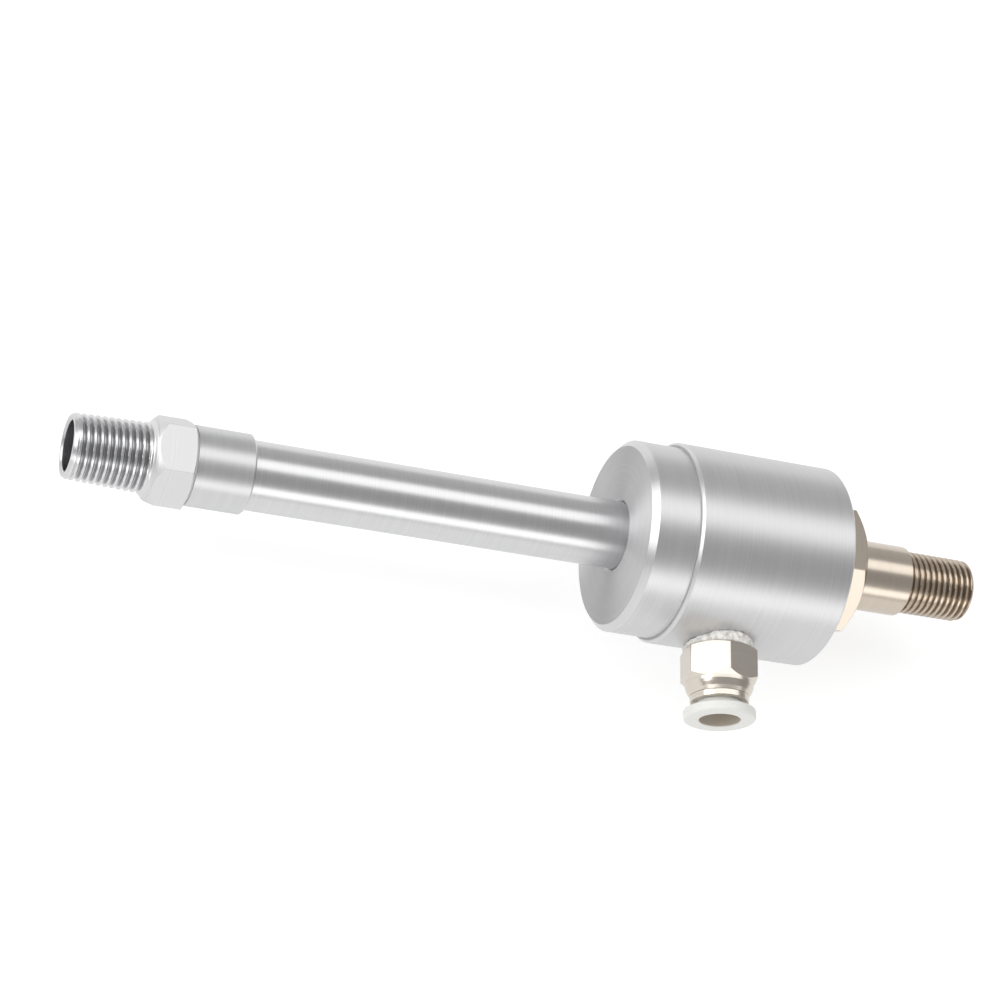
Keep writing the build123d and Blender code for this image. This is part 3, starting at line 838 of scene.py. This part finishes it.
def hot_nipple_profile(angle, wall, facing):
    """The nipple's outline at one angle. A column's share of a chamfer grows outwards."""
    share = (wall - hot_apothem + broken) / (hot_corner - hot_apothem)
    corners = [
        (hot_end, hot_lead_radius, crisp),
        (hot_end, hot_bore + hot_mouth, crisp),
        (hot_end + hot_mouth, hot_bore, crisp),
        (spigot_end, hot_bore, crisp),
        (spigot_end, tube_radius, crisp),
        (hot_hex_rear, tube_radius, crisp),
        (hot_hex_rear, hot_apothem - broken, broken),
        (hot_hex_rear - hot_rear_chamfer * share, wall, broken, True),
        (hot_hex_front + hot_front_chamfer * share, wall, broken),
        (hot_hex_front, hot_apothem - broken, broken),
        (hot_hex_front, hot_shoulder_radius, crisp),
    ]
    rows = thread_rows(
        angle, hot_places, hot_crest, hot_lead, hot_depth, hot_phase, hot_worn
    )
    return column_points(eased(corners), angle, facing) + rows


def in_groove(tree, end, towards):
    """How deep a point lies below a taper thread's crests: 1 at the root, more in the bore."""
    spot = add_node(tree, "ShaderNodeTexCoord").outputs["Object"]
    sideways = add_node(
        tree, "ShaderNodeVectorMath", {0: spot, 1: (0, 1, 1)}, operation="MULTIPLY"
    ).outputs[0]
    radius = add_node(
        tree, "ShaderNodeVectorMath", {0: sideways}, operation="LENGTH"
    ).outputs["Value"]
    place = add_node(tree, "ShaderNodeSeparateXYZ", {0: spot}).outputs["X"]
    evened = add_node(
        tree,
        "ShaderNodeMath",
        {0: place, 1: towards * THREAD_TAPER, 2: radius},
        operation="MULTIPLY_ADD",
    ).outputs[0]
    crest = (THREAD_END_RADIUS + towards * THREAD_TAPER * end) * MM
    return add_node(
        tree,
        "ShaderNodeMapRange",
        {
            "Value": evened,
            "From Min": crest,
            "From Max": crest - THREAD_DEPTH * MM,
            "To Min": 0.0,
            "To Max": 1.0,
        },
        clamp=False,
    ).outputs["Result"]


# Milled and turned aluminium: paler than the body and about as matt, with faint tool
# marks straight across the flats. They are 0.2 mm apart and drawn at 0.4 mm so that they
# show. The thread is cut brighter. Its grooves are painted greyer as shade, and the bore
# is drawn greyer too.
milled_smoothest, milled_roughest = 0.38, 0.50
cut_roughness = 0.27
bore_starts, bore_reached = 1.2, 1.5
milled_aluminium = bare_material("milled_aluminium")
tree = milled_aluminium.node_tree
marks = lathe_marks(tree, 0.4, across=(0, 0, 0))
depth = in_groove(tree, hot_end, -1)
clean = add_node(
    tree,
    "ShaderNodeMix",
    {"Factor": marks, 6: colour("#C9C9CA"), 7: colour("#DCDCDC")},
    data_type="RGBA",
).outputs["Result"]
# Painted shade: the thread's grooves are mixed towards a darker grey
groove_shaded = add_node(
    tree,
    "ShaderNodeMix",
    {"Factor": depth, 6: clean, 7: colour("#B4B4B6")},
    data_type="RGBA",
).outputs["Result"]
# The bore is mixed towards a plain grey
in_bore = add_node(
    tree,
    "ShaderNodeMapRange",
    {"Value": depth, "From Min": bore_starts, "From Max": bore_reached},
).outputs["Result"]
tint = add_node(
    tree,
    "ShaderNodeMix",
    {"Factor": in_bore, 6: groove_shaded, 7: colour("#C0C0C2")},
    data_type="RGBA",
)
milled_gloss = add_node(
    tree,
    "ShaderNodeMapRange",
    {
        "Value": marks,
        "From Min": noise_low,
        "From Max": noise_high,
        "To Min": milled_smoothest,
        "To Max": milled_roughest,
    },
).outputs["Result"]
spot = add_node(tree, "ShaderNodeTexCoord").outputs["Object"]
place = add_node(tree, "ShaderNodeSeparateXYZ", {0: spot}).outputs["X"]
gloss = add_node(
    tree,
    "ShaderNodeMapRange",
    {
        "Value": place,
        "From Min": hot_thread * MM,
        "From Max": hot_hex_front * MM,
        "To Min": cut_roughness,
        "To Max": milled_gloss,
    },
)
relief = add_node(
    tree, "ShaderNodeBump", {"Height": marks, "Strength": 0.25, "Distance": 0.03 * MM}
)
shader = add_node(
    tree,
    "ShaderNodeBsdfPrincipled",
    {
        "Base Color": tint.outputs["Result"],
        "Metallic": 1.0,
        "Roughness": gloss.outputs["Result"],
        "Normal": relief.outputs["Normal"],
    },
)
add_node(tree, "ShaderNodeOutputMaterial", {"Surface": shader.outputs[0]})
finished(
    "hot_nipple_turning",
    spun_mesh(
        "hot_nipple_turning",
        hexagon_columns(hot_across_flats, hot_corner_angle, hot_corner_round, flat_columns),
        hot_nipple_profile,
    ),
    milled_aluminium,
    "milled_aluminium",
    "housing",
    "hot_end_nipple",
)


# Cold nipple
# Brass hexagon bar, turned, threaded and nickel plated: a warm mirror with fine rings.
# The plain shank behind the thread passes through a panel.
spigot_start, cold_end = reach("cold_nipple")[:2]
cold_bore = 4.25
cold_round = 1.4
cold_shank_radius = 7.25
cold_thread = 13.4
cold_across_flats = 25.0
cold_corner_angle = 49.0
cold_corner_round = 0.2
cold_hex_chamfer = 1.45
cold_spigot_radius = 10.0
cold_apothem = cold_across_flats / 2
cold_corner = cold_apothem / math.cos(math.pi / 6)
cold_phase = 0.3
cold_worn = 0.08
cold_run_out = 0.5 * PITCH
cold_round_start = cold_end - cold_round
cold_places = spread(cold_thread, cold_round_start, row_step)
cold_places += [
    cold_round_start + cold_round * math.sin(math.radians(k)) for k in range(8, 88, 8)
]


def cold_crest(x):
    """Radius over the crests."""
    return THREAD_END_RADIUS + (cold_end - x) * THREAD_TAPER


def cold_limit(x):
    """Radius of the large rounding at the end, which cuts the thread off."""
    past = min(max(0.0, x - cold_round_start), cold_round)
    return cold_crest(cold_round_start) - cold_round + math.sqrt(cold_round**2 - past**2)


def cold_depth(x):
    """Depth of the thread, which runs out at the shank."""
    return THREAD_DEPTH * min(1.0, max(0.0, x - cold_thread) / cold_run_out)


def cold_nipple_profile(angle, wall, facing):
    """The nipple's outline at one angle. A column's share of the chamfer grows outwards."""
    share = (wall - cold_apothem + broken) / (cold_corner - cold_apothem)
    corners = [
        (spigot_start, web_hole, broken),
        (body_cold, cold_bore, broken),
        (cold_end, cold_bore, 1.5 * broken),
        (cold_end, cold_limit(cold_end), crisp),
        (cold_thread, cold_crest(cold_thread), crisp),
        (cold_thread, cold_shank_radius, 3 * broken),
        (0.0, cold_shank_radius, broken),
        (0.0, cold_apothem - broken, broken),
        (-cold_hex_chamfer * share, wall, 1.5 * broken, True),
        (body_cold, wall, broken),
        (body_cold, cold_spigot_radius, broken),
        (spigot_start, cold_spigot_radius, broken),
    ]
    arcs = eased(corners)
    rows = thread_rows(
        angle, cold_places, cold_crest, cold_limit, cold_depth, cold_phase, cold_worn
    )
    return (
        column_points(arcs[:4], angle, facing)
        + rows[::-1]
        + column_points(arcs[5:], angle, facing)
    )


# Nickel plating on turned brass: a mirror, warmer than the aluminium, with faint rings
# from the lathe under it. The rings are about 0.1 mm apart and drawn at 0.3 mm. The cold
# nipple has aged a little duller, and the grooves of its thread and its bore are drawn a
# darker brown; the fitting is brighter and has its rings round the inlet.
plated = {}
tube_axis = ((0, 0, 0), (0, 1, 1), (1, 0, 0))
inlet_axis = ((inlet_x * MM, 0, 0), (1, 0, 1), (0, 1, 0))
for name, axis, gloss, darker, lighter, groove_brown in (
    ("dull_nickel_plate", tube_axis, 0.24, "#BFB3A5", "#CDC3B6", "#94826E"),
    ("bright_nickel_plate", inlet_axis, 0.26, "#CBC3B8", "#D8D1C7", None),
):
    plated[name] = bare_material(name)
    tree = plated[name].node_tree
    marks = lathe_marks(tree, 0.3, *axis)
    clean = add_node(
        tree,
        "ShaderNodeMix",
        {"Factor": marks, 6: colour(darker), 7: colour(lighter)},
        data_type="RGBA",
    ).outputs["Result"]
    # The cold nipple's thread grooves and bore are mixed towards a darker brown
    if groove_brown:
        groove = in_groove(tree, cold_end, 1)
        clean = add_node(
            tree,
            "ShaderNodeMix",
            {"Factor": groove, 6: clean, 7: colour(groove_brown)},
            data_type="RGBA",
        ).outputs["Result"]
    relief = add_node(
        tree, "ShaderNodeBump", {"Height": marks, "Strength": 0.2, "Distance": 0.01 * MM}
    )
    shader = add_node(
        tree,
        "ShaderNodeBsdfPrincipled",
        {
            "Base Color": clean,
            "Metallic": 1.0,
            "Roughness": gloss,
            "Normal": relief.outputs["Normal"],
        },
    )
    add_node(tree, "ShaderNodeOutputMaterial", {"Surface": shader.outputs[0]})
finished(
    "cold_nipple_turning",
    spun_mesh(
        "cold_nipple_turning",
        hexagon_columns(
            cold_across_flats, cold_corner_angle, cold_corner_round, flat_columns
        ),
        cold_nipple_profile,
    ),
    plated["dull_nickel_plate"],
    "nickel_plated_brass",
    "housing",
    "cold_nipple",
)


# Push-in fitting
# The body is turned and threaded from brass hexagon bar and bright nickel plated. Both
# ends of the hexagon are chamfered, and a rounded shoulder ends in a thin mouth.
fitting_low, fitting_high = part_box("inlet_fitting_body")
fitting_end = -fitting_high.y / MM
fitting_mouth = -fitting_low.y / MM
fitting_bore = 3.2
air_tube_hole = 4.1
tube_stop = 18.5
chamber_end = 21.4
chamber_radius = 5.6
lip_radius = 5.95
shoulder_radius = 6.95
hex_seat = 21.5
hex_end = 28.6
seat_chamfer = 0.5
mouth_chamfer = 1.05
inlet_across_flats = 14.0
inlet_corner_angle = 40.0
inlet_corner_round = 0.5
inlet_corner_columns = 6
inlet_apothem = inlet_across_flats / 2
inlet_corner = inlet_apothem / math.cos(math.pi / 6)
fitting_root = THREAD_END_RADIUS + (hex_seat - fitting_end) * THREAD_TAPER
shoulder_steps = 4
shoulder_bulge = 0.27
shoulder_round = 0.8
foot_round = 0.03
foot_step = 0.02


def fitting_profile(angle, wall, facing):
    """The fitting's outline at one angle. A column's share of a chamfer grows outwards."""
    share = (wall - inlet_apothem + crisp) / (inlet_corner - inlet_apothem)
    shoulder = []
    for k in range(1, shoulder_steps):
        along = k / shoulder_steps
        fall = along - shoulder_bulge * 4 * along * (1 - along)
        shoulder.append(
            (
                hex_end + (fitting_mouth - hex_end) * along,
                shoulder_radius - (shoulder_radius - lip_radius) * fall,
                shoulder_round,
            )
        )
    corners = [
        (fitting_end, fitting_bore, broken),
        (tube_stop, fitting_bore, crisp),
        (tube_stop, air_tube_hole, crisp),
        (chamber_end, air_tube_hole, crisp),
        (chamber_end, chamber_radius, crisp),
        (fitting_mouth, chamber_radius, crisp),
        (fitting_mouth, lip_radius, crisp),
        *shoulder[::-1],
        (hex_end, shoulder_radius, foot_round),
        (hex_end, shoulder_radius + foot_step, foot_round),
        (hex_end - mouth_chamfer * share, wall, broken, True),
        (hex_seat + seat_chamfer * share, wall, broken),
        (hex_seat, inlet_apothem - crisp, crisp),
        (hex_seat, fitting_root, crisp),
        (fitting_end, THREAD_END_RADIUS, broken),
    ]
    return column_points(eased(corners), angle, facing)


fitting_mesh = spun_mesh(
    "fitting_turning",
    hexagon_columns(
        inlet_across_flats,
        inlet_corner_angle,
        inlet_corner_round,
        flat_columns,
        inlet_corner_columns,
    ),
    fitting_profile,
)
fitting_mesh.transform(to_inlet)
finished(
    "fitting_turning",
    fitting_mesh,
    plated["bright_nickel_plate"],
    "nickel_plated_brass",
    "housing",
    "inlet_fitting_body",
)


# Retaining bush
# A nickel-plated brass bush, pressed into the fitting's mouth. Only its bright lip shows.
bush_low, bush_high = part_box("retaining_bush")
bush_foot = -bush_high.y / MM
bush_lip = -bush_low.y / MM
bush_outer = 5.58
bush_recess = 5.3
bush_recess_end = 28.4
bush_guide = 4.83
inlet_columns = 144
bush_corners = [
    (bush_foot, bush_recess, crisp),
    (bush_recess_end, bush_recess, crisp),
    (bush_recess_end, bush_guide, crisp),
    (bush_lip, bush_guide, broken),
    (bush_lip, lip_radius, 2.5 * broken),
    (fitting_mouth, lip_radius, 1.5 * broken),
    (fitting_mouth, bush_outer, crisp),
    (bush_foot, bush_outer, crisp),
]
bush_mesh = turned_mesh("bush_turning", bush_corners, inlet_columns)
bush_mesh.transform(to_inlet)
finished(
    "bush_turning",
    bush_mesh,
    plated["bright_nickel_plate"],
    "nickel_plated_brass",
    "housing",
    "retaining_bush",
)


# Thread sealant
# White tape wound on the taper thread and squeezed out of the joint in a ragged ring.
tape_radius = 7.0
tape_inner = 6.70
tape_gap = 0.03
seat_gap = 0.02
tape_top = hex_seat - seat_gap
tape_belly = 0.12
tape_columns = 220
tape_levels = 10

# Two sizes of raggedness: how often round the ring, how often over its height, how deep
ragged_round, ragged_up, ragged_depth = 3.0, 2.6, 0.30
frayed_round, frayed_up, frayed_depth = 11.0, 9.0, 0.24

tape_mesh = bpy.data.meshes.new("tape_ring")
tape_places = []
tape_faces = []
for k in range(tape_columns):
    angle = 2 * math.pi * k / tape_columns
    c, s = math.cos(angle), math.sin(angle)
    column = []
    for level in range(tape_levels):
        height = level / (tape_levels - 1)
        ragged = noise.noise(Vector((ragged_round * c, ragged_round * s, ragged_up * height)))
        frayed = noise.noise(Vector((frayed_round * c, frayed_round * s, frayed_up * height)))
        belly = math.sin(math.pi * height)
        outer = tape_radius + ragged_depth * ragged + frayed_depth * frayed + tape_belly * belly
        foot = math.sqrt((body_radius + tape_gap) ** 2 - (outer * s) ** 2)
        column.append((foot + (tape_top - foot) * height, outer))
    column.append((tape_top, tape_inner))
    inner_foot = math.sqrt((body_radius + tape_gap) ** 2 - (tape_inner * s) ** 2)
    column.append((inner_foot, tape_inner))
    for place, radius in column:
        tape_places.append(to_inlet @ Vector((place * MM, radius * c * MM, radius * s * MM)))
rows = tape_levels + 2
for j in range(tape_columns):
    here, beside = j * rows, (j + 1) % tape_columns * rows
    for i in range(rows):
        on = (i + 1) % rows
        tape_faces.append((here + i, beside + i, beside + on, here + on))
tape_mesh.from_pydata(tape_places, [], tape_faces)
tape_mesh.shade_smooth()

# PTFE tape: a soft matt white, greyer where the film is stretched thin, with crumpled
# fibres about 0.9 mm wide
tape = bare_material("ptfe_thread_tape")
tree = tape.node_tree
spot = add_node(tree, "ShaderNodeTexCoord").outputs["Object"]
fibres = add_node(
    tree, "ShaderNodeTexNoise", {"Vector": spot, "Scale": 1 / (0.9 * MM), "Detail": 5.0}
).outputs["Fac"]
stretched = add_node(
    tree, "ShaderNodeMapRange", {"Value": fibres, "From Min": 0.35, "From Max": 0.55}
).outputs["Result"]
tint = add_node(
    tree,
    "ShaderNodeMix",
    {"Factor": stretched, 6: colour("#CDC9BF"), 7: colour("#F5F4F0")},
    data_type="RGBA",
)
relief = add_node(
    tree, "ShaderNodeBump", {"Height": fibres, "Strength": 0.7, "Distance": 0.2 * MM}
)
shader = add_node(
    tree,
    "ShaderNodeBsdfPrincipled",
    {
        "Base Color": tint.outputs["Result"],
        "Roughness": 0.6,
        "Normal": relief.outputs["Normal"],
    },
)
add_node(tree, "ShaderNodeOutputMaterial", {"Surface": shader.outputs[0]})
finished("tape_ring", tape_mesh, tape, "sealant_tape", "housing", "thread_sealant")


# Release ring
# A collet moulded in pale acetal. Its slit end slides in the bush, and a finger presses
# its flange to free the air tube.
ring_low, ring_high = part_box("release_ring")
ring_nose = -ring_high.y / MM
ring_face = -ring_low.y / MM
ring_radius = ring_high.z / MM
ring_neck = 4.75
ring_barb = 5.25
barb_start, barb_foot, barb_top = ring_nose + 0.5, 27.8, 28.3
flange_back = 33.5
flange_edge = 34.2
flare_place, flare_radius = 33.85, 6.5
flare_round = 1.0
# Radii over which the painted shade inside the hole fades in
bore_shade_ends, bore_shade_full = air_tube_hole + 0.15, air_tube_hole + 0.02
ring_corners = [
    (ring_nose, air_tube_hole, crisp),
    (ring_face, air_tube_hole, 3 * broken),
    (ring_face, ring_radius, 5 * broken),
    (flange_edge, ring_radius, 3 * broken),
    (flare_place, flare_radius, flare_round),
    (flange_back, lip_radius, broken),
    (flange_back, ring_neck, broken),
    (barb_top, ring_neck, crisp),
    (barb_top, ring_barb, crisp),
    (barb_foot, ring_barb, crisp),
    (barb_start, ring_neck, crisp),
]
ring_mesh = turned_mesh("ring_moulding", ring_corners, inlet_columns)
ring_mesh.transform(to_inlet)

# Moulded acetal: a slightly warm off-white with a satin skin and a faint cloudy grain.
# Inside the hole the skin is painted a warm grey, as painted shade.
acetal = bare_material("moulded_acetal")
tree = acetal.node_tree
spot = add_node(tree, "ShaderNodeTexCoord").outputs["Object"]
grain = add_node(
    tree, "ShaderNodeTexNoise", {"Vector": spot, "Scale": 1 / (0.6 * MM), "Detail": 3.0}
).outputs["Fac"]
clean = add_node(
    tree,
    "ShaderNodeMix",
    {"Factor": grain, 6: colour("#E2E2DE"), 7: colour("#ECECE8")},
    data_type="RGBA",
).outputs["Result"]
from_axis = add_node(
    tree, "ShaderNodeVectorMath", {0: spot, 1: (inlet_x * MM, 0, 0)}, operation="SUBTRACT"
).outputs[0]
sideways = add_node(
    tree, "ShaderNodeVectorMath", {0: from_axis, 1: (1, 0, 1)}, operation="MULTIPLY"
).outputs[0]
radius = add_node(
    tree, "ShaderNodeVectorMath", {0: sideways}, operation="LENGTH"
).outputs["Value"]
# Painted shade: a warm grey towards the wall of the hole
bore_shade = add_node(
    tree,
    "ShaderNodeMapRange",
    {"Value": radius, "From Min": bore_shade_ends * MM, "From Max": bore_shade_full * MM},
).outputs["Result"]
tint = add_node(
    tree,
    "ShaderNodeMix",
    {"Factor": bore_shade, 6: clean, 7: colour("#CFC6B8")},
    data_type="RGBA",
)
relief = add_node(
    tree, "ShaderNodeBump", {"Height": grain, "Strength": 0.2, "Distance": 0.02 * MM}
)
shader = add_node(
    tree,
    "ShaderNodeBsdfPrincipled",
    {
        "Base Color": tint.outputs["Result"],
        "Roughness": 0.42,
        "Normal": relief.outputs["Normal"],
    },
)
add_node(tree, "ShaderNodeOutputMaterial", {"Surface": shader.outputs[0]})
finished(
    "ring_moulding", ring_mesh, acetal, "release_ring_plastic", "push_ring", "release_ring"
)


# Brass inner pieces
# The nozzle ring, the orifice plate behind it, the throttle in the hot end and the
# fitting's backup ring, turned from yellow brass and left bare.
brass = bare_material("turned_yellow_brass")
tree = brass.node_tree
marks = lathe_marks(tree, 0.3)
tint = add_node(
    tree,
    "ShaderNodeMix",
    {"Factor": marks, 6: colour("#C2A161"), 7: colour("#DCC083")},
    data_type="RGBA",
)
relief = add_node(
    tree, "ShaderNodeBump", {"Height": marks, "Strength": 0.3, "Distance": 0.02 * MM}
)
shader = add_node(
    tree,
    "ShaderNodeBsdfPrincipled",
    {
        "Base Color": tint.outputs["Result"],
        "Metallic": 1.0,
        "Roughness": 0.3,
        "Normal": relief.outputs["Normal"],
    },
)
add_node(tree, "ShaderNodeOutputMaterial", {"Surface": shader.outputs[0]})
dress(brass, "swirl_generator", "cold_orifice", "hot_throttle", "backup_ring")


# Grab ring
# Stamped from spring steel strip and hardened: a grey satin with rolling marks along the
# strip, 0.15 mm apart, and a slight straw tint from tempering.
steel = bare_material("tempered_spring_steel")
tree = steel.node_tree
spot = add_node(tree, "ShaderNodeTexCoord").outputs["Object"]
stretched = add_node(
    tree,
    "ShaderNodeVectorMath",
    {0: spot, 1: (0.05, 1.0, 1.0)},
    operation="MULTIPLY",
).outputs[0]
rolling = add_node(
    tree, "ShaderNodeTexNoise", {"Vector": stretched, "Scale": 1 / (0.15 * MM), "Detail": 2.0}
).outputs["Fac"]
tint = add_node(
    tree,
    "ShaderNodeMix",
    {"Factor": rolling, 6: colour("#A7A296"), 7: colour("#C4C1B8")},
    data_type="RGBA",
)
relief = add_node(
    tree, "ShaderNodeBump", {"Height": rolling, "Strength": 0.3, "Distance": 0.01 * MM}
)
shader = add_node(
    tree,
    "ShaderNodeBsdfPrincipled",
    {
        "Base Color": tint.outputs["Result"],
        "Metallic": 1.0,
        "Roughness": 0.28,
        "Normal": relief.outputs["Normal"],
    },
)
add_node(tree, "ShaderNodeOutputMaterial", {"Surface": shader.outputs[0]})
dress(steel, "grab_ring")


# Rubber rings and tube seal
# Black nitrile rubber, moulded: a deep grey with a dull skin, greyer where talc from the
# packing clings to it in patches about 1 mm wide.
rubber = bare_material("moulded_nitrile_rubber")
tree = rubber.node_tree
spot = add_node(tree, "ShaderNodeTexCoord").outputs["Object"]
patches = add_node(
    tree, "ShaderNodeTexNoise", {"Vector": spot, "Scale": 1 / (1.0 * MM), "Detail": 4.0}
).outputs["Fac"]
tint = add_node(
    tree,
    "ShaderNodeMix",
    {"Factor": patches, 6: colour("#161616"), 7: colour("#2C2C2B")},
    data_type="RGBA",
)
gloss = add_node(
    tree,
    "ShaderNodeMapRange",
    {
        "Value": patches,
        "From Min": noise_low,
        "From Max": noise_high,
        "To Min": 0.42,
        "To Max": 0.62,
    },
)
relief = add_node(
    tree, "ShaderNodeBump", {"Height": patches, "Strength": 0.3, "Distance": 0.02 * MM}
)
shader = add_node(
    tree,
    "ShaderNodeBsdfPrincipled",
    {
        "Base Color": tint.outputs["Result"],
        "Roughness": gloss.outputs["Result"],
        "Normal": relief.outputs["Normal"],
    },
)
add_node(tree, "ShaderNodeOutputMaterial", {"Surface": shader.outputs[0]})
dress(
    rubber, "orifice_o_ring", "cap_o_ring", "tube_o_ring", "cold_nipple_o_ring", "tube_seal"
)
